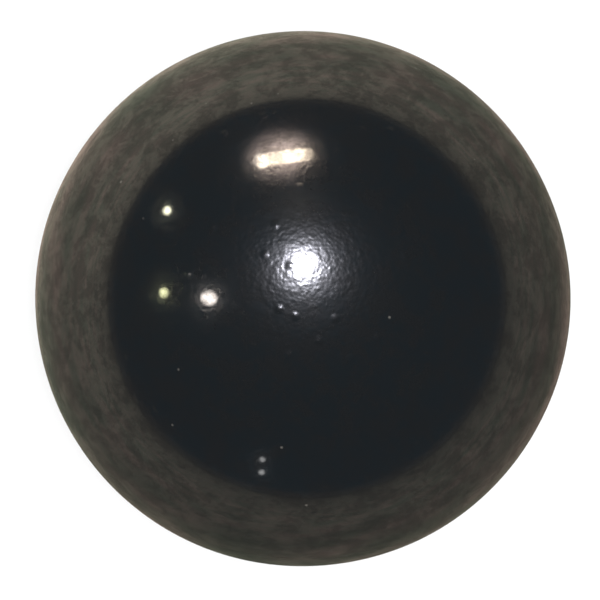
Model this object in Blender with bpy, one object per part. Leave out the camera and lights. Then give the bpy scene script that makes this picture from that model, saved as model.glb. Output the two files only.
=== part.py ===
"""Case opening friction ball: a soft, tacky, hollow rubber ball that grips a screw-down watch case back.

The ball stands on +Z with its origin at the middle of the small flat that its own weight presses into it.
Its inflation valve lies on +X, half way up. Every turned piece is drawn once as an outline in the plane of
the valve axis, as (distance along the axis from the ball's centre, distance from the axis), and spun round.
"""

import math

import bmesh
import bpy

# Driving dimensions, in metres
BALL_RADIUS = 0.0325
SKIN_WALL = 0.0018
CORE_WALL = 0.0038
REST_RADIUS = 0.0040
SEAM_THICKNESS = 0.0006
GAP = 0.0003

# Inflation valve, in metres: stations are distances from the ball's centre along the valve axis
HEAD_RADIUS = 0.0030
HEAD_FACE = 0.0320
HEAD_UNDERSIDE = 0.0303
HEAD_CHAMFER = 0.0002
STEM_RADIUS = 0.0020
STEM_END = 0.0190
BULB_RADIUS = 0.0027
BULB_START = 0.0255
BULB_END = 0.0210
BULB_TAPER = 0.0010
NEEDLE_RADIUS = 0.00075
NEEDLE_MOUTH_RADIUS = 0.0012
NEEDLE_MOUTH_DEPTH = 0.0006
NEEDLE_END = 0.0250
POCKET_RADIUS = 0.0013
POCKET_START = 0.0240
NECK_RADIUS = 0.0042
NECK_END = 0.0300
FLANGE_RADIUS = 0.0090
FLANGE_THICKNESS = 0.0012
FLANGE_EDGE = 0.0005
HOUSING_END_WALL = 0.0015
HOUSING_TIP_RADIUS = 0.0036
HOUSING_TIP_HOLE_RADIUS = 0.0008

# How finely round shapes are divided
BALL_SEGMENTS = 56
CORE_SEGMENTS = 40
VALVE_SEGMENTS = 32
MERGE_DISTANCE = 1e-7
SHARP_ANGLE = math.radians(30)

# Derived sizes
SKIN_INNER_RADIUS = BALL_RADIUS - SKIN_WALL
CORE_OUTER_RADIUS = SKIN_INNER_RADIUS - GAP
CORE_INNER_RADIUS = CORE_OUTER_RADIUS - CORE_WALL
MOUTH_RADIUS = HEAD_RADIUS + GAP
NECK_HOLE_RADIUS = NECK_RADIUS + GAP
CENTRE_HEIGHT = math.sqrt(BALL_RADIUS ** 2 - REST_RADIUS ** 2)


def along(radius, off_axis):
    """Distance along the axis at which a sphere is off_axis away from the axis."""
    return math.sqrt(radius ** 2 - off_axis ** 2)


def arc(radius, start, end, steps):
    """Points of a circular arc about the ball's centre, with angles measured from the valve axis."""
    points = []
    for step in range(steps + 1):
        angle = start + (end - start) * step / steps
        points.append((radius * math.cos(angle), radius * abs(math.sin(angle))))
    return points


def make_material(name, colour, roughness):
    """A plain Principled finish; every piece of this ball is rubber or gum, so none is metallic."""
    material = bpy.data.materials.new(name)
    material.use_nodes = True
    shader = material.node_tree.nodes["Principled BSDF"]
    shader.inputs["Base Color"].default_value = (*colour, 1.0)
    shader.inputs["Roughness"].default_value = roughness
    shader.inputs["Metallic"].default_value = 0.0
    return material


def turned(name, outline, closed, segments, material, centre):
    """Spin an outline once round the valve axis and hang the piece on the ball's centre."""
    shape = bmesh.new()
    points = [shape.verts.new((x, 0.0, r)) for x, r in outline]
    for first, second in zip(points, points[1:]):
        shape.edges.new((first, second))
    if closed:
        shape.edges.new((points[-1], points[0]))
    bmesh.ops.spin(
        shape,
        geom=shape.verts[:] + shape.edges[:],
        cent=(0.0, 0.0, 0.0),
        axis=(1.0, 0.0, 0.0),
        angle=2.0 * math.pi,
        steps=segments,
        use_merge=True,
    )
    bmesh.ops.remove_doubles(shape, verts=shape.verts[:], dist=MERGE_DISTANCE)
    bmesh.ops.recalc_face_normals(shape, faces=shape.faces[:])
    mesh = bpy.data.meshes.new(name)
    shape.to_mesh(mesh)
    shape.free()
    mesh.shade_smooth()
    mesh.set_sharp_from_angle(angle=SHARP_ANGLE)
    mesh.materials.append(material)
    piece = bpy.data.objects.new(name, mesh)
    piece.parent = centre
    bpy.context.collection.objects.link(piece)
    return piece


def make_friction_skin(centre):
    """The whole tacky outside layer, open only at the valve's mouth, pressed flat where the ball rests."""
    mouth_outside = math.asin(MOUTH_RADIUS / BALL_RADIUS)
    mouth_inside = math.asin(MOUTH_RADIUS / SKIN_INNER_RADIUS)
    equator = math.pi / 2.0
    outside = arc(BALL_RADIUS, math.pi, equator, BALL_SEGMENTS // 4)
    outside += arc(BALL_RADIUS, equator, mouth_outside, BALL_SEGMENTS // 4)[1:]
    inside = arc(SKIN_INNER_RADIUS, mouth_inside, math.pi, CORE_SEGMENTS // 2)
    material = make_material("tacky_black_rubber", (0.012, 0.013, 0.014), 0.15)
    skin = turned("friction_skin", outside + inside, False, BALL_SEGMENTS, material, centre)
    flatten = skin.modifiers.new("rest_flat", "BOOLEAN")
    flatten.operation = "DIFFERENCE"
    flatten.solver = "EXACT"
    flatten.object = make_floor_cutter(centre)


def make_floor_cutter(centre):
    """A block below the floor plane, which takes the bulge off the bottom of the skin."""
    side = 2.0 * BALL_RADIUS
    shape = bmesh.new()
    bmesh.ops.create_cube(shape, size=side)
    mesh = bpy.data.meshes.new("floor_cutter")
    shape.to_mesh(mesh)
    shape.free()
    cutter = bpy.data.objects.new("floor_cutter", mesh)
    cutter.parent = centre
    cutter.location = (0.0, 0.0, -CENTRE_HEIGHT - side / 2.0)
    cutter.hide_render = True
    cutter.display_type = "WIRE"
    bpy.context.collection.objects.link(cutter)
    return cutter


def make_core_halves(centre):
    """Two moulded half shells. The one towards the valve has a hole for the neck of the valve housing."""
    half_gap = SEAM_THICKNESS / 2.0 + GAP
    rim_outside = math.acos(half_gap / CORE_OUTER_RADIUS)
    rim_inside = math.acos(half_gap / CORE_INNER_RADIUS)
    hole_outside = math.asin(NECK_HOLE_RADIUS / CORE_OUTER_RADIUS)
    hole_inside = math.asin(NECK_HOLE_RADIUS / CORE_INNER_RADIUS)
    steps = CORE_SEGMENTS // 4
    rubber = make_material("moulded_core_rubber", (0.060, 0.052, 0.045), 0.75)

    valve_side = arc(CORE_OUTER_RADIUS, rim_outside, hole_outside, steps)
    valve_side += arc(CORE_INNER_RADIUS, hole_inside, rim_inside, steps)
    turned("core_half_valve_side", valve_side, True, CORE_SEGMENTS, rubber, centre)

    far_side = arc(CORE_OUTER_RADIUS, math.pi, math.pi - rim_outside, steps)
    far_side += arc(CORE_INNER_RADIUS, math.pi - rim_inside, math.pi, steps)
    turned("core_half_far_side", far_side, False, CORE_SEGMENTS, rubber, centre)


def make_core_seam(centre):
    """The ring of rubber cement that bonds the two half shells, as wide as their wall is thick."""
    half = SEAM_THICKNESS / 2.0
    outer = CORE_OUTER_RADIUS
    inner = CORE_INNER_RADIUS
    outline = [(-half, inner), (-half, outer), (half, outer), (half, inner)]
    cement = make_material("rubber_cement", (0.30, 0.19, 0.08), 0.45)
    turned("core_seam", outline, True, CORE_SEGMENTS, cement, centre)


def make_valve_housing(centre):
    """A flanged rubber tube bonded inside the core, with a groove that traps the plug's bulb."""
    flange_top = CORE_INNER_RADIUS - GAP
    flange_bottom = flange_top - FLANGE_THICKNESS
    flange_edge_bottom = flange_top - FLANGE_EDGE
    bore = STEM_RADIUS + GAP
    groove = BULB_RADIUS + GAP
    cavity_end = STEM_END - GAP
    tip_end = cavity_end - HOUSING_END_WALL
    fillet = FLANGE_THICKNESS / 2.0
    fillet_radius = NECK_RADIUS + fillet
    flange_middle = (NECK_RADIUS + FLANGE_RADIUS) / 2.0
    outline = [
        (NECK_END, bore),
        (NECK_END, NECK_RADIUS),
        (along(flange_top, NECK_RADIUS), NECK_RADIUS),
        (along(flange_top, flange_middle), flange_middle),
        (along(flange_top, FLANGE_RADIUS), FLANGE_RADIUS),
        (along(flange_edge_bottom, FLANGE_RADIUS), FLANGE_RADIUS),
        (along(flange_bottom, fillet_radius), fillet_radius),
        (along(flange_bottom, fillet_radius) - fillet, NECK_RADIUS),
        (tip_end, HOUSING_TIP_RADIUS),
        (tip_end, HOUSING_TIP_HOLE_RADIUS),
        (cavity_end, HOUSING_TIP_HOLE_RADIUS),
        (cavity_end, bore),
        (BULB_END - BULB_TAPER, bore),
        (BULB_END, groove),
        (BULB_START, groove),
        (BULB_START + BULB_TAPER, bore),
    ]
    rubber = make_material("valve_housing_rubber", (0.10, 0.10, 0.10), 0.60)
    turned("valve_housing", outline, True, VALVE_SEGMENTS, rubber, centre)


def make_valve_plug(centre):
    """The plug that a needle goes through: a flat head, a stem with a bulb, and a pocket for sealing gum."""
    outline = [
        (NEEDLE_END, 0.0),
        (NEEDLE_END, NEEDLE_RADIUS),
        (HEAD_FACE - NEEDLE_MOUTH_DEPTH, NEEDLE_RADIUS),
        (HEAD_FACE, NEEDLE_MOUTH_RADIUS),
        (HEAD_FACE, HEAD_RADIUS - HEAD_CHAMFER),
        (HEAD_FACE - HEAD_CHAMFER, HEAD_RADIUS),
        (HEAD_UNDERSIDE, HEAD_RADIUS),
        (HEAD_UNDERSIDE, STEM_RADIUS),
        (BULB_START + BULB_TAPER, STEM_RADIUS),
        (BULB_START, BULB_RADIUS),
        (BULB_END, BULB_RADIUS),
        (BULB_END - BULB_TAPER, STEM_RADIUS),
        (STEM_END, STEM_RADIUS),
        (STEM_END, POCKET_RADIUS),
        (POCKET_START, POCKET_RADIUS),
        (POCKET_START, 0.0),
    ]
    rubber = make_material("valve_plug_rubber", (0.020, 0.020, 0.021), 0.45)
    turned("valve_plug", outline, False, VALVE_SEGMENTS, rubber, centre)


def make_sealing_gum(centre):
    """A slug of soft gum in the plug's pocket, which closes behind the needle when it is drawn out."""
    radius = POCKET_RADIUS - GAP
    outline = [
        (STEM_END + GAP, 0.0),
        (STEM_END + GAP, radius),
        (POCKET_START - GAP, radius),
        (POCKET_START - GAP, 0.0),
    ]
    gum = make_material("sealing_gum", (0.55, 0.38, 0.20), 0.35)
    turned("sealing_gum", outline, False, VALVE_SEGMENTS // 2, gum, centre)


def build_ball():
    """Remove what the scene holds, then make each piece about the ball's centre."""
    for item in list(bpy.data.objects):
        bpy.data.objects.remove(item)
    centre = bpy.data.objects.new("ball_centre", None)
    centre.location = (0.0, 0.0, CENTRE_HEIGHT)
    bpy.context.collection.objects.link(centre)
    make_friction_skin(centre)
    make_core_halves(centre)
    make_core_seam(centre)
    make_valve_housing(centre)
    make_valve_plug(centre)
    make_sealing_gum(centre)


build_ball()
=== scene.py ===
# %% [markdown]
# # A case opening friction ball
# A watchmaker presses this soft, tacky ball on the back of a watch case and turns it to unscrew the back.
# It is a hollow rubber ball with a valve for an inflating needle. This lesson makes each piece of it in
# Blender round a ready-made engineering model, which gives every size and place.

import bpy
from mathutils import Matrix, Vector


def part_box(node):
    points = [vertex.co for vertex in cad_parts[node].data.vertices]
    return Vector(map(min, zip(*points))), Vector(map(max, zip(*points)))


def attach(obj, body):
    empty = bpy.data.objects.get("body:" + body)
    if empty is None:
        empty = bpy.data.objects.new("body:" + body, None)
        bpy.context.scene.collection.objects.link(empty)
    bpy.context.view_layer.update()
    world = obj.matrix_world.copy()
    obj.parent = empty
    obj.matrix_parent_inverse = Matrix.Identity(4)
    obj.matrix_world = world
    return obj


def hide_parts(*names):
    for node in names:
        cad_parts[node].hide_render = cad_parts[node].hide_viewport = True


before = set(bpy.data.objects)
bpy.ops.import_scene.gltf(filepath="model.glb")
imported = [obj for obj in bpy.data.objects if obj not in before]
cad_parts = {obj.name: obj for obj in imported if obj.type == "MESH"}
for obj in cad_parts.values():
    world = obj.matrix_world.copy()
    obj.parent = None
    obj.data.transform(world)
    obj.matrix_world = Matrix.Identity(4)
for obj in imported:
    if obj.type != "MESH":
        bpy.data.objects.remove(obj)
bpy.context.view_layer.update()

# %% Blender's modules and the one from Python's library that is needed
import math

import bmesh
import bpy
from mathutils import Matrix, Vector, noise

# %% [markdown]
# ## Sizes
# Blender works in metres, but a maker thinks of a ball like this in millimetres, so one name turns the one
# into the other. The ball is as wide as the model is from side to side. It stands on a small flat, so its
# middle is one radius below its top and a little less than one radius above the floor.

# %% Main sizes, read from the engineering model
MM = 0.001
skin_low, skin_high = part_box("friction_skin")
BALL_RADIUS = (skin_high.y - skin_low.y) / 2
CENTRE = Vector((0.0, 0.0, skin_high.z - BALL_RADIUS))
core_low, core_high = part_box("core_half_far_side")
CORE_RADIUS = (core_high.y - core_low.y) / 2
GAP = 0.3 * MM
SKIN_INNER_RADIUS = CORE_RADIUS + GAP
seam_low, seam_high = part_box("core_seam")
SEAM_THICKNESS = seam_high.x - seam_low.x
CORE_WALL = 3.8 * MM
CORE_INNER_RADIUS = CORE_RADIUS - CORE_WALL
print(f"ball {2000 * BALL_RADIUS:.1f} mm across, centre {1000 * CENTRE.z:.2f} mm above the floor")
print(f"core {2000 * CORE_RADIUS:.1f} mm across, seam {1000 * SEAM_THICKNESS:.2f} mm thick")

# %% Sizes along the valve, which lies on the X axis
plug_low, plug_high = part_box("valve_plug")
housing_low, housing_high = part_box("valve_housing")
gum_low, gum_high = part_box("sealing_gum")
HEAD_RADIUS = (plug_high.y - plug_low.y) / 2
MOUTH_RADIUS = HEAD_RADIUS + GAP
FLANGE_RADIUS = (housing_high.y - housing_low.y) / 2
NECK_RADIUS = 4.2 * MM
print(f"plug head {2000 * HEAD_RADIUS:.1f} mm across in a mouth of {2000 * MOUTH_RADIUS:.1f} mm")

# %% [markdown]
# ## Turned pieces
# Every piece of this ball is round, so each can be drawn as half of its section and spun about the axis, as
# clay is on a wheel. A round stretch of the section is itself a point spun about the ball's centre, which
# keeps it a true arc without any list of coordinates. A pen that starts with one vertex and grows the line
# with extrude and spin keeps the drawing in the order in which a hand would draw it.

# %% The pen that draws a section and turns it
WELD_DISTANCE = 0.0002 * MM


class Section:
    """Half of a round piece's section, drawn in the plane y = 0 about a centre on the valve axis."""

    def __init__(self, along, out):
        self.shape = bmesh.new()
        self.tip = self.shape.verts.new(self.place(along, out))
        self.first = self.tip

    def place(self, along, out):
        return CENTRE + Vector((along, 0.0, out))

    def line(self, along, out):
        """Extrude the tip of the line to a new place."""
        grown = bmesh.ops.extrude_vert_indiv(self.shape, verts=[self.tip])
        self.tip = grown["verts"][0]
        self.tip.co = self.place(along, out)
        return self

    def arc(self, degrees, steps):
        """Spin the tip about the ball's centre; a positive angle goes towards the valve."""
        grown = bmesh.ops.spin(
            self.shape,
            geom=[self.tip],
            cent=CENTRE,
            axis=(0.0, 1.0, 0.0),
            angle=math.radians(degrees),
            steps=steps,
            use_merge=False,
        )
        self.tip = [part for part in grown["geom_last"] if isinstance(part, bmesh.types.BMVert)][0]
        return self

    def close(self):
        self.shape.edges.new((self.tip, self.first))
        return self

    def turn(self, steps):
        """Spin the whole section once round the valve axis, and weld what meets."""
        bmesh.ops.spin(
            self.shape,
            geom=self.shape.verts[:] + self.shape.edges[:],
            cent=CENTRE,
            axis=(1.0, 0.0, 0.0),
            angle=math.tau,
            steps=steps,
            use_merge=True,
        )
        bmesh.ops.remove_doubles(self.shape, verts=self.shape.verts[:], dist=WELD_DISTANCE)
        bmesh.ops.recalc_face_normals(self.shape, faces=self.shape.faces[:])
        return self.shape


# %% Helpers that measure, round and finish a turned piece
SAME_PLACE = 0.01 * MM
SHARP_ANGLE = math.radians(40)


def off_axis(point):
    """How far a point is from the valve axis."""
    return math.hypot(point.y - CENTRE.y, point.z - CENTRE.z)


def angle_at(radius, distance):
    """Degrees between the valve axis and a point of a sphere that is that distance from the axis."""
    return math.degrees(math.asin(distance / radius))


def round_edges(shape, rings, width, segments):
    """Bevel every ring of edges given as (along the axis, off the axis)."""
    picked = []
    for edge in shape.edges:
        for along, distance in rings:
            if all(
                abs(v.co.x - along) < SAME_PLACE and abs(off_axis(v.co) - distance) < SAME_PLACE
                for v in edge.verts
            ):
                picked.append(edge)
    bmesh.ops.bevel(
        shape,
        geom=picked,
        offset=width,
        offset_type="OFFSET",
        segments=segments,
        profile=0.5,
        affect="EDGES",
        material=-1,
    )
    return len(picked)


def finish_piece(name, shape, material, node):
    """Turn a bmesh into a smooth piece that rides on the ball and stands for its engineering solid."""
    mesh = bpy.data.meshes.new(name)
    shape.to_mesh(mesh)
    shape.free()
    mesh.shade_smooth()
    mesh.set_sharp_from_angle(angle=SHARP_ANGLE)
    mesh.materials.append(material)
    piece = bpy.data.objects.new(name, mesh)
    bpy.context.collection.objects.link(piece)
    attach(piece, "root")
    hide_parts(node)
    triangles = sum(len(face.vertices) - 2 for face in mesh.polygons)
    print(f"{name}: {len(mesh.vertices)} vertices, {triangles} triangles")
    return piece

# %% [markdown]
# ## Materials
# Colours are given as sRGB hex values, the way a colour picker shows them, and the renderer wants linear
# light, so one function converts. A second one adds a node, sets it and links it in a single call. Patterns
# are sized from real distances: a texture repeats once per unit of its scale, so a grain of so many
# millimetres needs a scale of one over that many metres.

# %% Helpers for materials
def colour(hex_value):
    """Turn an sRGB hex value such as #1a1b1c into linear red, green, blue and alpha."""
    digits = hex_value.lstrip("#")
    channels = [int(digits[i:i + 2], 16) / 255 for i in (0, 2, 4)]
    linear = [c / 12.92 if c <= 0.04045 else ((c + 0.055) / 1.055) ** 2.4 for c in channels]
    return (*linear, 1.0)


def cells(millimetres):
    """Texture scale at which one cell or grain is that many millimetres across."""
    return 1.0 / (millimetres * MM)


def socket(sockets, key):
    """Find a socket by its place, or the shown one by its name: a Mix node hides several of one name."""
    if isinstance(key, int):
        return sockets[key]
    return next(s for s in sockets if s.name == key and s.enabled)


def add(tree, kind, inputs=None, output=0, **settings):
    """Add a node, with values to set or sockets to link, and give back the output that is asked for."""
    node = tree.nodes.new(kind)
    for name, value in settings.items():
        setattr(node, name, value)
    for key, value in (inputs or {}).items():
        if isinstance(value, bpy.types.NodeSocket):
            tree.links.new(value, socket(node.inputs, key))
        else:
            socket(node.inputs, key).default_value = value
    return socket(node.outputs, output) if len(node.outputs) else node


def start_material(name):
    """A material with an empty node tree, and the tree."""
    material = bpy.data.materials.new(name)
    material.use_nodes = True
    material.node_tree.nodes.clear()
    return material, material.node_tree

# %% [markdown]
# ## The tacky outer rubber
# The skin is a soft black rubber, pressed in a polished mould, so it is nearly as glossy as lacquer. Oil
# that the rubber sweats out lies on it as a clear film: a smooth, sharp mirror over a base that scatters
# more widely. Two layers do that in one shader: the coat gives crisp lamps, the base the soft glow
# round them. The rest is what moulding and use leave: a cloudy bloom, low pimples from dust in the mould,
# which glint near a strong lamp, and a few grains of lint that the tack has picked up.

# %% Tacky moulded rubber
BLOOM_SIZE = 3.0
LINT_SPACING = 5.2
PIMPLE_SPACING = 3.0
PIMPLE_RADIUS = 0.66
PIMPLE_HEIGHT = 0.048 * MM
PIMPLE_SHIFT = (-0.0022, -0.011, -0.006)
GRAIN_SIZE = 0.62
GRAIN_HEIGHT = 0.026 * MM


def tacky_moulded_rubber():
    material, tree = start_material("tacky_moulded_black_rubber")
    place = add(tree, "ShaderNodeTexCoord", output="Object")

    # Bloom: wax that has come to the surface lies in cloudy patches a few millimetres across.
    bloom = add(
        tree,
        "ShaderNodeTexNoise",
        {"Vector": place, "Scale": cells(BLOOM_SIZE), "Detail": 6.0, "Roughness": 0.80, "Distortion": 0.3},
    )
    cloud = add(
        tree,
        "ShaderNodeMapRange",
        {"Value": bloom, "From Min": 0.42, "From Max": 0.58},
        interpolation_type="SMOOTHSTEP",
    )
    rubber = add(
        tree,
        "ShaderNodeMix",
        {"Factor": cloud, "A": colour("#141719"), "B": colour("#18191a")},
        output="Result",
        data_type="RGBA",
    )
    # Under the bloom the oily film is thinner, so less of the room is mirrored there.
    film_cover = add(
        tree,
        "ShaderNodeMapRange",
        {"Value": cloud, "To Min": 1.0, "To Max": 0.45},
    )

    # Lint: grains of a few tenths of a millimetre, one in every few square centimetres.
    grains = add(
        tree,
        "ShaderNodeTexVoronoi",
        {"Vector": place, "Scale": cells(LINT_SPACING)},
        output="Distance",
    )
    lint = add(
        tree,
        "ShaderNodeMapRange",
        {"Value": grains, "From Min": 0.040, "From Max": 0.015, "To Max": 0.6},
    )
    dusty = add(
        tree,
        "ShaderNodeMix",
        {"Factor": lint, "A": rubber, "B": colour("#6d6a64")},
        output="Result",
        data_type="RGBA",
    )

    # Pimples: dust in the mould leaves low ones, up to 1.3 mm across. The oily film levels them out.
    # The shift slides the pattern to where a few of them lie near the flash and glint.
    shifted = add(tree, "ShaderNodeVectorMath", {0: place, 1: PIMPLE_SHIFT}, operation="ADD")
    spots = add(
        tree,
        "ShaderNodeTexVoronoi",
        {"Vector": shifted, "Scale": cells(PIMPLE_SPACING)},
        output="Distance",
    )
    pimple = add(
        tree,
        "ShaderNodeMapRange",
        {"Value": spots, "From Min": PIMPLE_RADIUS / PIMPLE_SPACING, "From Max": 0.0},
        interpolation_type="SMOOTHSTEP",
    )
    pimpled = add(
        tree,
        "ShaderNodeBump",
        {"Strength": 1.0, "Distance": PIMPLE_HEIGHT, "Height": pimple},
    )

    # Grain: the texture of the rubber itself, under the film. The real one is finer than this, and it
    # is drawn as coarse as it needs to be to show.
    grain = add(
        tree,
        "ShaderNodeTexNoise",
        {"Vector": place, "Scale": cells(GRAIN_SIZE), "Detail": 1.0, "Roughness": 0.5},
    )
    base = add(
        tree,
        "ShaderNodeBump",
        {"Strength": 1.0, "Distance": GRAIN_HEIGHT, "Height": grain, "Normal": pimpled},
    )
    shader = add(
        tree,
        "ShaderNodeBsdfPrincipled",
        {
            "Base Color": dusty,
            "Roughness": 0.19,
            "IOR": 1.52,
            "Specular IOR Level": 0.10,
            "Normal": base,
            "Coat Weight": film_cover,
            "Coat Roughness": 0.05,
            "Coat IOR": 1.5,
        },
    )
    add(tree, "ShaderNodeOutputMaterial", {"Surface": shader})
    return material

# %% [markdown]
# ## The skin
# The outer skin is one shell, open only where the valve shows. Its section is an arc outside and an arc
# inside, and the mouth's edge is rolled over with a bevel so that it catches light as moulded rubber does.
# A soft ball isn't a perfect sphere. Its own weight presses a small flat into it, and its wall swells a
# few hundredths of a millimetre more in one place than in another, which is what makes mirrored lamps
# and the horizon waver a little. Both are small moves of the finished turned shape.

# %% The skin's shape
SKIN_STEPS = 240
MOUTH_ROLL = 0.35 * MM
SWELL = 0.10 * MM
SWELL_SIZE = 24.0
STILL_RADIUS = 6 * MM
STILL_FADE = 10 * MM
OUTSIDE_DEPTH = 0.9 * MM
FLAT_ROUNDING = 0.20 * MM


def soft_floor(height, rounding):
    """Heights below the floor become zero, with a small curve where the ball leaves the floor."""
    overlap = max(rounding - abs(height), 0.0) / rounding
    return max(height, 0.0) + overlap * overlap * rounding / 4


def swell_and_settle(shape):
    """Let the outside of the skin waver, less and less towards the valve, and rest it on the floor."""
    for vert in shape.verts:
        ray = vert.co - CENTRE
        if ray.length < BALL_RADIUS - OUTSIDE_DEPTH:
            continue
        away = min(max((off_axis(vert.co) - STILL_RADIUS) / STILL_FADE, 0.0), 1.0)
        fade = 1.0 if ray.x < 0 else away
        lift = noise.noise(ray * cells(SWELL_SIZE)) * SWELL * fade
        vert.co += ray.normalized() * lift
        vert.co.z = soft_floor(vert.co.z, FLAT_ROUNDING)


def make_skin():
    mouth = angle_at(BALL_RADIUS, MOUTH_RADIUS)
    mouth_inside = angle_at(SKIN_INNER_RADIUS, MOUTH_RADIUS)
    inner_face = SKIN_INNER_RADIUS * math.cos(math.radians(mouth_inside))
    section = Section(-BALL_RADIUS, 0.0)
    section.arc(180.0 - mouth, SKIN_STEPS // 2)
    section.line(inner_face, MOUTH_RADIUS)
    section.arc(mouth_inside - 180.0, SKIN_STEPS // 4)
    shape = section.turn(SKIN_STEPS)
    outer_face = BALL_RADIUS * math.cos(math.radians(mouth))
    rolled = round_edges(shape, [(outer_face, MOUTH_RADIUS)], MOUTH_ROLL, 5)
    print(f"rolled {rolled} edges round the mouth")
    swell_and_settle(shape)
    rubber = tacky_moulded_rubber()
    return finish_piece("friction_skin_surface", shape, rubber, "friction_skin")


make_skin()

# %% [markdown]
# ## The core
# Under the skin lies the core, two thicker half shells that give the ball its spring. They are pressed as
# cups, dusted with talc so that they don't stick to the mould, and cemented rim to rim. Nobody sees them in
# the closed ball, so they are matte and simple. The half towards the valve has a round hole for its neck.

# %% Talc-dusted core rubber and rubber cement
def dusted_rubber(name, rubber, dust, grain_size, roughness):
    """Matte moulded rubber with a thin, uneven veil of talc."""
    material, tree = start_material(name)
    place = add(tree, "ShaderNodeTexCoord", output="Object")
    veil = add(
        tree,
        "ShaderNodeTexNoise",
        {"Vector": place, "Scale": cells(grain_size * 8), "Detail": 5.0, "Roughness": 0.65},
    )
    cover = add(
        tree,
        "ShaderNodeMapRange",
        {"Value": veil, "From Min": 0.40, "From Max": 0.68, "To Max": 0.55},
    )
    tint = add(
        tree,
        "ShaderNodeMix",
        {"Factor": cover, "A": colour(rubber), "B": colour(dust)},
        output="Result",
        data_type="RGBA",
    )
    grain = add(tree, "ShaderNodeTexNoise", {"Vector": place, "Scale": cells(grain_size), "Detail": 3.0})
    bump = add(tree, "ShaderNodeBump", {"Strength": 0.6, "Distance": 0.02 * MM, "Height": grain})
    shader = add(
        tree,
        "ShaderNodeBsdfPrincipled",
        {"Base Color": tint, "Roughness": roughness, "IOR": 1.52, "Normal": bump},
    )
    add(tree, "ShaderNodeOutputMaterial", {"Surface": shader})
    return material


def dried_cement():
    """Rubber cement dries to a clear amber film, glossy where it pooled."""
    material, tree = start_material("dried_amber_rubber_cement")
    place = add(tree, "ShaderNodeTexCoord", output="Object")
    pools = add(tree, "ShaderNodeTexNoise", {"Vector": place, "Scale": cells(3.0), "Detail": 2.0})
    tint = add(
        tree,
        "ShaderNodeMix",
        {"Factor": pools, "A": colour("#8a5a22"), "B": colour("#c08a44")},
        output="Result",
        data_type="RGBA",
    )
    gloss = add(tree, "ShaderNodeMapRange", {"Value": pools, "To Min": 0.25, "To Max": 0.55})
    shader = add(
        tree,
        "ShaderNodeBsdfPrincipled",
        {"Base Color": tint, "Roughness": gloss, "IOR": 1.52},
    )
    add(tree, "ShaderNodeOutputMaterial", {"Surface": shader})
    return material


core_rubber = dusted_rubber("talc_dusted_core_rubber", "#3b352f", "#8c867d", 0.25, 0.80)

# %% The two core shells and the cement between them
CORE_STEPS = 128
ARC_STEPS = 36
RIM_ROUNDING = 0.3 * MM
BEAD_OVERHANG = 0.35 * MM
BEAD_ROUNDING = 0.22 * MM
RIM_GAP = SEAM_THICKNESS / 2 + GAP
NECK_HOLE_RADIUS = NECK_RADIUS + GAP


def station(radius, out):
    """Distance along the axis at which a sphere of that radius is so far off the axis."""
    return math.sqrt(radius ** 2 - out ** 2)


def make_valve_side_shell():
    rim_outside = math.degrees(math.acos(RIM_GAP / CORE_RADIUS))
    rim_inside = math.degrees(math.acos(RIM_GAP / CORE_INNER_RADIUS))
    hole_outside = angle_at(CORE_RADIUS, NECK_HOLE_RADIUS)
    hole_inside = angle_at(CORE_INNER_RADIUS, NECK_HOLE_RADIUS)
    section = Section(RIM_GAP, station(CORE_RADIUS, RIM_GAP))
    section.arc(rim_outside - hole_outside, ARC_STEPS)
    section.line(station(CORE_INNER_RADIUS, NECK_HOLE_RADIUS), NECK_HOLE_RADIUS)
    section.arc(hole_inside - rim_inside, ARC_STEPS)
    section.close()
    shape = section.turn(CORE_STEPS)
    corners = [
        (RIM_GAP, station(CORE_RADIUS, RIM_GAP)),
        (RIM_GAP, station(CORE_INNER_RADIUS, RIM_GAP)),
        (station(CORE_RADIUS, NECK_HOLE_RADIUS), NECK_HOLE_RADIUS),
        (station(CORE_INNER_RADIUS, NECK_HOLE_RADIUS), NECK_HOLE_RADIUS),
    ]
    round_edges(shape, corners, RIM_ROUNDING, 3)
    return finish_piece("core_shell_valve_side", shape, core_rubber, "core_half_valve_side")


def make_far_side_shell():
    rim_outside = math.degrees(math.acos(RIM_GAP / CORE_RADIUS))
    rim_inside = math.degrees(math.acos(RIM_GAP / CORE_INNER_RADIUS))
    section = Section(-CORE_RADIUS, 0.0)
    section.arc(rim_outside, ARC_STEPS)
    section.line(-RIM_GAP, station(CORE_INNER_RADIUS, RIM_GAP))
    section.arc(-rim_inside, ARC_STEPS)
    shape = section.turn(CORE_STEPS)
    corners = [
        (-RIM_GAP, station(CORE_RADIUS, RIM_GAP)),
        (-RIM_GAP, station(CORE_INNER_RADIUS, RIM_GAP)),
    ]
    round_edges(shape, corners, RIM_ROUNDING, 3)
    return finish_piece("core_shell_far_side", shape, core_rubber, "core_half_far_side")


def make_cement_ring():
    """A thin washer of cement whose squeezed-out bead stands a little into the hollow."""
    half = SEAM_THICKNESS / 2
    bead = half + BEAD_OVERHANG
    bead_top = CORE_INNER_RADIUS - 0.15 * MM
    bead_bottom = CORE_INNER_RADIUS - 0.75 * MM
    section = Section(half, CORE_RADIUS)
    section.line(-half, CORE_RADIUS)
    section.line(-half, bead_top)
    section.line(-bead, bead_top)
    section.line(-bead, bead_bottom)
    section.line(bead, bead_bottom)
    section.line(bead, bead_top)
    section.line(half, bead_top)
    section.close()
    shape = section.turn(CORE_STEPS)
    corners = [(side, out) for side in (-bead, bead) for out in (bead_top, bead_bottom)]
    round_edges(shape, corners, BEAD_ROUNDING, 4)
    return finish_piece("core_cement_ring", shape, dried_cement(), "core_seam")


make_valve_side_shell()
make_far_side_shell()
make_cement_ring()

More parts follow.
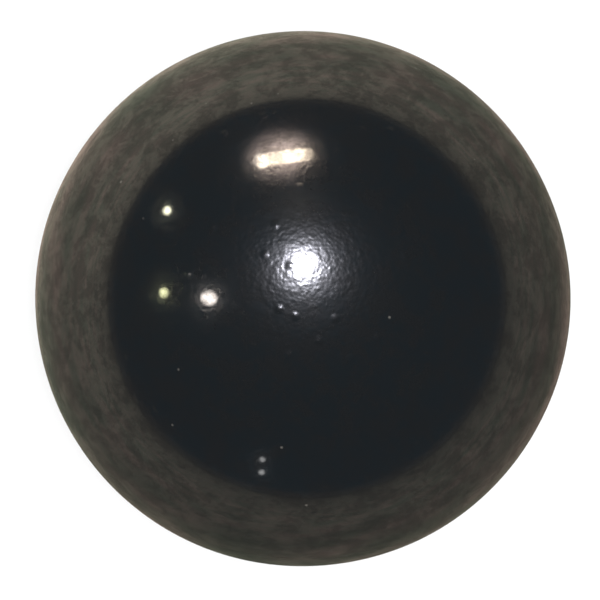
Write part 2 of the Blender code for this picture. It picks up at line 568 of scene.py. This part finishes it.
# %% [markdown]
# ## The valve
# The ball is blown up with a hollow needle, through a plug that seals itself. A flanged housing is cemented
# inside the core round the hole, with a groove in its bore. The plug is pushed in from outside until its
# bulb snaps into that groove, and its head fills the skin's mouth nearly flush. A slug of soft gum in the
# plug's pocket closes behind the needle when it is drawn out.

# %% The valve's housing
housing_rubber = dusted_rubber("matte_grey_housing_rubber", "#58585a", "#8f8c86", 0.20, 0.68)
VALVE_STEPS = 96
STEM_RADIUS = 2.0 * MM
BORE_RADIUS = STEM_RADIUS + GAP
BULB_RADIUS = 2.7 * MM
BULB_START = 25.5 * MM
BULB_END = 21.0 * MM
BULB_TAPER = 1.0 * MM
FLANGE_THICKNESS = 1.2 * MM
FLANGE_EDGE = 0.5 * MM
NECK_END = housing_high.x
TIP_END = housing_low.x
TIP_RADIUS = 3.6 * MM
TIP_HOLE_RADIUS = 0.8 * MM
HOLLOW_END = plug_low.x - GAP


def make_housing():
    flange_top = CORE_INNER_RADIUS - GAP
    flange_bottom = flange_top - FLANGE_THICKNESS
    fillet = FLANGE_THICKNESS / 2
    groove = BULB_RADIUS + GAP
    rim = (station(flange_top, FLANGE_RADIUS), FLANGE_RADIUS)
    rim_below = (station(flange_top - FLANGE_EDGE, FLANGE_RADIUS), FLANGE_RADIUS)
    neck_to_rim = angle_at(flange_top, FLANGE_RADIUS) - angle_at(flange_top, NECK_RADIUS)
    section = Section(NECK_END, BORE_RADIUS)
    section.line(NECK_END, NECK_RADIUS)
    section.line(station(flange_top, NECK_RADIUS), NECK_RADIUS)
    section.arc(-neck_to_rim, 6)
    section.line(*rim_below)
    section.line(station(flange_bottom, NECK_RADIUS + fillet), NECK_RADIUS + fillet)
    section.line(station(flange_bottom, NECK_RADIUS + fillet) - fillet, NECK_RADIUS)
    section.line(TIP_END, TIP_RADIUS)
    section.line(TIP_END, TIP_HOLE_RADIUS)
    section.line(HOLLOW_END, TIP_HOLE_RADIUS)
    section.line(HOLLOW_END, BORE_RADIUS)
    section.line(BULB_END - BULB_TAPER, BORE_RADIUS)
    section.line(BULB_END, groove)
    section.line(BULB_START, groove)
    section.line(BULB_START + BULB_TAPER, BORE_RADIUS)
    section.close()
    shape = section.turn(VALVE_STEPS)
    round_edges(shape, [rim, rim_below], 0.12 * MM, 3)
    round_edges(shape, [(TIP_END, TIP_RADIUS)], 0.4 * MM, 4)
    round_edges(shape, [(NECK_END, NECK_RADIUS), (NECK_END, BORE_RADIUS)], 0.15 * MM, 3)
    return finish_piece("valve_housing_body", shape, housing_rubber, "valve_housing")


make_housing()

# %% [markdown]
# The plug is harder rubber than the skin and isn't tacky, so it is satin black: what little light it
# mirrors is spread wide. Its head has a rounded edge, a fine moulded ring round the middle and a
# countersunk hole that leads the needle in.

# %% The valve's plug
HEAD_FACE = plug_high.x
HEAD_UNDERSIDE = 30.3 * MM
NEEDLE_RADIUS = 0.75 * MM
NEEDLE_MOUTH_RADIUS = 1.2 * MM
NEEDLE_MOUTH_DEPTH = 0.6 * MM
NEEDLE_END = 25.0 * MM
POCKET_RADIUS = 1.3 * MM
POCKET_START = 24.0 * MM
STEM_END = plug_low.x
RING_RADIUS = 2.0 * MM
RING_DEPTH = 0.12 * MM


def satin_plug_rubber():
    material, tree = start_material("satin_black_plug_rubber")
    place = add(tree, "ShaderNodeTexCoord", output="Object")
    wear = add(tree, "ShaderNodeTexNoise", {"Vector": place, "Scale": cells(1.2), "Detail": 4.0})
    tint = add(
        tree,
        "ShaderNodeMix",
        {"Factor": wear, "A": colour("#1d1d1e"), "B": colour("#2c2b2a")},
        output="Result",
        data_type="RGBA",
    )
    satin = add(tree, "ShaderNodeMapRange", {"Value": wear, "To Min": 0.38, "To Max": 0.58})
    grain = add(tree, "ShaderNodeTexNoise", {"Vector": place, "Scale": cells(0.12), "Detail": 2.0})
    bump = add(tree, "ShaderNodeBump", {"Strength": 0.5, "Distance": 0.006 * MM, "Height": grain})
    shader = add(
        tree,
        "ShaderNodeBsdfPrincipled",
        {"Base Color": tint, "Roughness": satin, "IOR": 1.52, "Normal": bump},
    )
    add(tree, "ShaderNodeOutputMaterial", {"Surface": shader})
    return material


def make_plug():
    section = Section(NEEDLE_END, 0.0)
    section.line(NEEDLE_END, NEEDLE_RADIUS)
    section.line(HEAD_FACE - NEEDLE_MOUTH_DEPTH, NEEDLE_RADIUS)
    section.line(HEAD_FACE, NEEDLE_MOUTH_RADIUS)
    section.line(HEAD_FACE, RING_RADIUS - RING_DEPTH)
    section.line(HEAD_FACE - RING_DEPTH, RING_RADIUS)
    section.line(HEAD_FACE, RING_RADIUS + RING_DEPTH)
    section.line(HEAD_FACE, HEAD_RADIUS)
    section.line(HEAD_UNDERSIDE, HEAD_RADIUS)
    section.line(HEAD_UNDERSIDE, STEM_RADIUS)
    section.line(BULB_START + BULB_TAPER, STEM_RADIUS)
    section.line(BULB_START, BULB_RADIUS)
    section.line(BULB_END, BULB_RADIUS)
    section.line(BULB_END - BULB_TAPER, STEM_RADIUS)
    section.line(STEM_END, STEM_RADIUS)
    section.line(STEM_END, POCKET_RADIUS)
    section.line(POCKET_START, POCKET_RADIUS)
    section.line(POCKET_START, 0.0)
    shape = section.turn(VALVE_STEPS)
    round_edges(shape, [(HEAD_FACE, HEAD_RADIUS)], 0.35 * MM, 5)
    round_edges(shape, [(HEAD_FACE, NEEDLE_MOUTH_RADIUS)], 0.15 * MM, 4)
    round_edges(shape, [(BULB_START, BULB_RADIUS), (BULB_END, BULB_RADIUS)], 0.4 * MM, 4)
    round_edges(shape, [(STEM_END, STEM_RADIUS)], 0.2 * MM, 3)
    return finish_piece("valve_plug_body", shape, satin_plug_rubber(), "valve_plug")


make_plug()

# %% [markdown]
# The gum is a soft, sticky compound that stays tacky for years. It is cut from a strand, pushed into the
# pocket and closes by itself round a needle's hole. It is drawn as a turned slug with round ends, then
# squeezed a little out of true, because nothing so soft stays a perfect cylinder.

# %% The sealing gum
def soft_gum():
    """Soft tan gum lets a little light in below its surface, which keeps it from looking like paint."""
    material, tree = start_material("soft_tan_sealing_gum")
    place = add(tree, "ShaderNodeTexCoord", output="Object")
    streaks = add(tree, "ShaderNodeTexNoise", {"Vector": place, "Scale": cells(0.8), "Detail": 3.0})
    tint = add(
        tree,
        "ShaderNodeMix",
        {"Factor": streaks, "A": colour("#a97c45"), "B": colour("#d0a468")},
        output="Result",
        data_type="RGBA",
    )
    shader = add(
        tree,
        "ShaderNodeBsdfPrincipled",
        {
            "Base Color": tint,
            "Roughness": 0.35,
            "IOR": 1.52,
            "Subsurface Weight": 0.15,
            "Subsurface Scale": 0.5 * MM,
        },
    )
    add(tree, "ShaderNodeOutputMaterial", {"Surface": shader})
    return material


GUM_STEPS = 48
GUM_ROUNDING = 0.45 * MM
SQUEEZE = 0.05
SQUEEZE_SIZE = 1.5


def make_gum():
    """A slug cut from a soft strand: rounded at both ends and squeezed a little out of true."""
    radius = POCKET_RADIUS - GAP
    front = POCKET_START - GAP
    back = STEM_END + GAP
    section = Section(back, 0.0)
    section.line(back, radius)
    section.line((back + front) / 2, radius)
    section.line(front, radius)
    section.line(front, 0.0)
    shape = section.turn(GUM_STEPS)
    round_edges(shape, [(back, radius), (front, radius)], GUM_ROUNDING, 6)
    for vert in shape.verts:
        squeeze = 1.0 - SQUEEZE * abs(noise.noise(vert.co * cells(SQUEEZE_SIZE)))
        vert.co.y *= squeeze
        vert.co.z = CENTRE.z + (vert.co.z - CENTRE.z) * squeeze
    return finish_piece("sealing_gum_slug", shape, soft_gum(), "sealing_gum")


make_gum()

# %% [markdown]
# ## The floor, the room and the lamps
# A glossy black ball shows the room more than itself: the dark room above it, the pale table round its
# lower edge, and each lamp as a bright spot. The floor is one large sheet, pale to look at. A mirrored ray
# gets a painted glow from it instead, warmer and darker: painted shade close by, where the ball and the
# camera over it would shade the table, and painted light that fades far off, where the light of the lamps
# thins out. The two answers could be two sheets, each seen by its own rays, but one material that mixes
# them is simpler.

# %% Floor
FLOOR_HALF_SIDE = 8.0
# Painted light on the mirrored table: the side where it is brighter, its level, and the size and strength of
# its painted patches.
BRIGHT_SIDE = math.radians(122)
PAINTED_TABLE_LEVEL = 0.605
PATCH_SIZE = 36.0
PATCH_CONTRAST = 0.24


def painted_table_light(tree, place):
    """Painted light and shade of the mirrored table: brighter on one side, darker close by and far off."""
    away = add(tree, "ShaderNodeVectorMath", {0: place}, output="Value", operation="LENGTH")
    direction = add(tree, "ShaderNodeVectorMath", {0: place}, operation="NORMALIZE")
    lit_side = add(
        tree,
        "ShaderNodeVectorMath",
        {0: direction, 1: (math.cos(BRIGHT_SIDE), math.sin(BRIGHT_SIDE), 0.0)},
        output="Value",
        operation="DOT_PRODUCT",
    )
    half_turn = add(tree, "ShaderNodeMapRange", {"Value": lit_side, "From Min": -1.0, "From Max": 1.0})
    lobe = add(tree, "ShaderNodeMath", {0: half_turn, 1: 2.0}, operation="POWER")
    side_tone = add(tree, "ShaderNodeMapRange", {"Value": lobe, "To Min": 0.66, "To Max": 1.76})
    # Painted shade close to the ball, and painted light that fades far off.
    near = add(
        tree,
        "ShaderNodeMapRange",
        {"Value": away, "From Min": 0.05, "From Max": 0.22, "To Min": 0.40, "To Max": 1.0},
        interpolation_type="SMOOTHSTEP",
    )
    far = add(
        tree,
        "ShaderNodeMapRange",
        {"Value": away, "From Min": 0.25, "From Max": 3.5, "To Min": 1.0, "To Max": 0.40},
    )
    tone = add(tree, "ShaderNodeMath", {0: near, 1: far}, operation="MULTIPLY")
    return add(tree, "ShaderNodeMath", {0: tone, 1: side_tone}, operation="MULTIPLY")


def painted_reflection_patches(tree, place):
    """Painted patches of light and tint in the mirrored table's glow: give back their brightness and tint."""
    patches = add(
        tree,
        "ShaderNodeTexNoise",
        {"Vector": place, "Scale": cells(PATCH_SIZE), "Detail": 4.0, "Roughness": 0.65},
    )
    patch = add(
        tree,
        "ShaderNodeMapRange",
        {"Value": patches, "From Min": 0.38, "From Max": 0.62},
    )
    shade = add(
        tree,
        "ShaderNodeMapRange",
        {
            "Value": patch,
            "To Min": (1 - PATCH_CONTRAST) * PAINTED_TABLE_LEVEL,
            "To Max": (1 + PATCH_CONTRAST) * PAINTED_TABLE_LEVEL,
        },
    )
    tint = add(
        tree,
        "ShaderNodeMix",
        {"Factor": patch, "A": colour("#e9eed0"), "B": colour("#ffe4d0")},
        output="Result",
        data_type="RGBA",
    )
    return shade, tint


def pale_table():
    """Pale to look at; where the ball mirrors it, a painted glow stands in for a lamp-lit table."""
    material, tree = start_material("pale_table")
    place = add(tree, "ShaderNodeTexCoord", output="Object")
    shade, tint = painted_reflection_patches(tree, place)
    tone = add(tree, "ShaderNodeMath", {0: painted_table_light(tree, place), 1: shade}, operation="MULTIPLY")
    pale = add(tree, "ShaderNodeBsdfDiffuse", {"Color": colour("#f7f7f7")})
    # Painted light: mirrored rays see this glow, not the lit floor.
    painted_table_glow = add(tree, "ShaderNodeEmission", {"Color": tint, "Strength": tone})
    mirrored = add(tree, "ShaderNodeLightPath", output="Is Glossy Ray")
    shader = add(tree, "ShaderNodeMixShader", {0: mirrored, 1: pale, 2: painted_table_glow})
    add(tree, "ShaderNodeOutputMaterial", {"Surface": shader})
    return material


def make_sheet(name, half_side, material):
    """A flat square of the stage, which is not part of the ball."""
    shape = bmesh.new()
    bmesh.ops.create_grid(shape, x_segments=1, y_segments=1, size=half_side)
    mesh = bpy.data.meshes.new(name)
    shape.to_mesh(mesh)
    shape.free()
    mesh.materials.append(material)
    sheet = bpy.data.objects.new(name, mesh)
    bpy.context.collection.objects.link(sheet)
    return sheet


make_sheet("floor", FLOOR_HALF_SIDE, pale_table())
print(f"floor {2 * FLOOR_HALF_SIDE:.0f} m square")

# %% [markdown]
# The room has three tones, chosen by the kind of ray that asks. What the camera sees behind the ball is pale,
# what lights the floor from all round is pale too, and what the ball mirrors is dark: brown-grey walls at
# the horizon and a cool, darker ceiling. A real room has only one of them, but a ball shown on white
# with a dim workshop in its surface needs all three.

# %% Room
CAMERA_GREY = colour("#e2e2e2")
SOFT_GREY = colour("#eaeaea")
WALL_TONE = colour("#706c69")
CEILING_TONE = colour("#3c4d59")


def make_room():
    """Pale to look at and to be lit by, but dark and cool where the ball mirrors it."""
    room = bpy.data.worlds.new("room")
    room.use_nodes = True
    tree = room.node_tree
    tree.nodes.clear()
    direction = add(tree, "ShaderNodeTexCoord", output="Generated")
    upward = add(tree, "ShaderNodeSeparateXYZ", {0: direction}, output="Z")
    height = add(
        tree,
        "ShaderNodeMapRange",
        {"Value": upward, "From Min": 0.0, "From Max": 0.08},
        interpolation_type="SMOOTHERSTEP",
    )
    walls = add(
        tree,
        "ShaderNodeMix",
        {"Factor": height, "A": WALL_TONE, "B": CEILING_TONE},
        output="Result",
        data_type="RGBA",
    )
    mirrored = add(tree, "ShaderNodeLightPath", output="Is Glossy Ray")
    lit = add(
        tree,
        "ShaderNodeMix",
        {"Factor": mirrored, "A": SOFT_GREY, "B": walls},
        output="Result",
        data_type="RGBA",
    )
    looked_at = add(tree, "ShaderNodeLightPath", output="Is Camera Ray")
    seen = add(
        tree,
        "ShaderNodeMix",
        {"Factor": looked_at, "A": lit, "B": CAMERA_GREY},
        output="Result",
        data_type="RGBA",
    )
    background = add(tree, "ShaderNodeBackground", {"Color": seen, "Strength": 1.0})
    add(tree, "ShaderNodeOutputWorld", {"Surface": background})
    bpy.context.scene.world = room
    print(f"room with {len(tree.nodes)} nodes")


make_room()
bpy.context.scene.view_settings.view_transform = "Standard"

# %% [markdown]
# Each lamp is a flat light that faces the ball. Its place is given by where it hangs in the room: an
# azimuth round the ball and a lean from straight up, with its size as the angle that it fills. All but the
# studio light are there to be mirrored and light nothing else, so that no lamp whitens one side of the floor.

# %% Helpers that hang a lamp
LAMP_DISTANCE = 0.95


def hanging_place(azimuth, lean, distance):
    """Where a lamp hangs and how it is turned: its own minus Z looks at the ball's centre."""
    tilt = Matrix.Rotation(math.radians(azimuth - 90), 4, "Z") @ Matrix.Rotation(-math.radians(lean), 4, "X")
    return Matrix.Translation(CENTRE + tilt @ Vector((0.0, 0.0, distance))) @ tilt


def half_width(degrees, distance):
    """Half the width that fills so many degrees from that far."""
    return distance * math.tan(math.radians(degrees) / 2)


def show_in_mirror_only(item):
    item.visible_camera = False
    item.visible_diffuse = False
    item.visible_shadow = False


def make_disk_lamp(name, size, energy):
    """A round area light that the camera itself never sees."""
    light = bpy.data.lights.new(name, "AREA")
    light.shape = "DISK"
    light.size = size
    light.energy = energy
    lamp = bpy.data.objects.new(name, light)
    lamp.visible_camera = False
    bpy.context.collection.objects.link(lamp)
    return lamp

# %% [markdown]
# The studio light hangs over the ball and is the only lamp that lights the floor, as a soft box does. It is
# left out of mirrored rays, or the ball would show a large white disc. The flash is small and very strong,
# because it has to show even in the rubber's weak, wide base shine, where it makes the grainy halo.

# %% The studio light and the flash
STUDIO_WIDTH = 0.45
STUDIO_HEIGHT = 1.2
STUDIO_WATTS = 8.5
FLASH_ANGLE = 4.0
FLASH_BRIGHTNESS = 5200.0
studio = make_disk_lamp("studio_light", STUDIO_WIDTH, STUDIO_WATTS)
studio.location = CENTRE + Vector((0.0, 0.0, STUDIO_HEIGHT))
studio.visible_glossy = False

flash_width = 2 * half_width(FLASH_ANGLE, LAMP_DISTANCE)
flash_face = math.pi / 4 * flash_width ** 2
flash = make_disk_lamp("camera_flash", flash_width, FLASH_BRIGHTNESS * math.pi * flash_face)
flash.data.color = colour("#f2f2ff")[:3]
flash.matrix_world = hanging_place(97, 13.5, LAMP_DISTANCE)
show_in_mirror_only(flash)
print(f"studio light {STUDIO_WATTS} W, flash {1000 * flash_width:.0f} mm across, {flash.data.energy:.0f} W")

# %% [markdown]
# The other lamps are glowing cards. A card's light fades from its middle to nothing at its edge, slowly for
# a bare bulb and fast for the glow on the wall round a lamp. Where a card doesn't glow it is clear, so cards
# can hang one behind the other and their light adds up. A fluorescent tube is a long card with squarer ends.

# %% Glowing cards
def card_glow(name, tint, brightness, fade, square_ends):
    """Light that falls off from the middle; a small fade keeps it bright almost to the edge."""
    material, tree = start_material(name)
    place = add(tree, "ShaderNodeTexCoord", output="Object")
    if square_ends:
        place = add(tree, "ShaderNodeVectorMath", {0: place, 1: place}, operation="MULTIPLY")
    square = add(tree, "ShaderNodeVectorMath", {0: place, 1: place}, output="Value", operation="DOT_PRODUCT")
    left = add(tree, "ShaderNodeMath", {0: 1.0, 1: square}, operation="SUBTRACT", use_clamp=True)
    faded = add(tree, "ShaderNodeMath", {0: left, 1: fade}, operation="POWER")
    strength = add(tree, "ShaderNodeMath", {0: faded, 1: brightness}, operation="MULTIPLY")
    glow = add(tree, "ShaderNodeEmission", {"Color": colour(tint), "Strength": strength})
    clear = add(tree, "ShaderNodeBsdfTransparent")
    shader = add(tree, "ShaderNodeAddShader", {0: glow, 1: clear})
    add(tree, "ShaderNodeOutputMaterial", {"Surface": shader})
    return material


def hang_card(
    name, azimuth, lean, wide, high, tint, brightness, fade=1.0, distance=LAMP_DISTANCE, square_ends=False
):
    """Hang a card that fills so many degrees each way."""
    card = make_sheet(name, 1.0, card_glow(name, tint, brightness, fade, square_ends))
    size = Matrix.Diagonal((half_width(wide, distance), half_width(high, distance), 1.0, 1.0))
    card.matrix_world = hanging_place(azimuth, lean, distance) @ size
    show_in_mirror_only(card)
    print(f"{name}: {wide} by {high} degrees, {distance} m away")

# %% The tube and what glows round it
GLOW_FADE = 4.5
hang_card("tube_lamp", 98.5, 60.0, 21.0, 7.0, "#ffeacd", 37.0, fade=0.9, square_ends=True)
hang_card("tube_lamp_end", 108.0, 61.0, 7.0, 9.0, "#fff0dc", 26.0, fade=1.5)
hang_card("tube_glow", 99.5, 61.5, 36.0, 36.0, "#ffe4d8", 11.5, fade=GLOW_FADE, distance=1.15)
hang_card("wall_glow", 95.5, 38.0, 40.0, 44.0, "#e0cdb8", 0.4, fade=GLOW_FADE, distance=1.60)

# %% Three round lamps on the left and two small ones in front
hang_card("left_lamp_high", 147.5, 71.5, 3.4, 5.0, "#fffbd8", 46.0)
hang_card("left_lamp_middle", 177.0, 60.5, 4.4, 5.2, "#f8f8c0", 46.0)
hang_card("left_lamp_low", 179.0, 40.5, 6.2, 8.0, "#fff4ea", 56.0)
hang_card("small_lamp_front", -105.0, 71.5, 2.4, 3.2, "#ffffff", 11.0)
hang_card("small_lamp_far", -104.0, 78.0, 2.4, 3.6, "#ffffff", 6.5)

# %% [markdown]
# ## The camera
# It looks down on the ball from almost straight above, 6.8 ball radii away, and leans a little to the left.
# The lens is worked out so that the ball fills the share of the picture that it should, and a small
# shift of the lens sets the ball where it belongs in the frame without turning the camera.

# %% Camera
VIEW_DISTANCE = 6.8 * BALL_RADIUS
VIEW_LEAN = math.radians(2.4)
BALL_SHARE = 0.892
camera_data = bpy.data.cameras.new("camera")
camera_data.sensor_width = 36.0
limb = math.asin(BALL_RADIUS / VIEW_DISTANCE)
camera_data.lens = camera_data.sensor_width / 2 * BALL_SHARE / math.tan(limb)
camera_data.shift_x = -0.0051
camera_data.shift_y = -0.0017
camera_data.clip_start = 0.01
towards = Vector((-math.sin(VIEW_LEAN), 0.0, math.cos(VIEW_LEAN)))
camera = bpy.data.objects.new("camera", camera_data)
camera.location = CENTRE + towards * VIEW_DISTANCE
camera.rotation_euler = (0.0, -VIEW_LEAN, 0.0)
bpy.context.collection.objects.link(camera)
bpy.context.scene.camera = camera
print(f"lens {camera_data.lens:.1f} mm, {1000 * VIEW_DISTANCE:.0f} mm from the ball's centre")
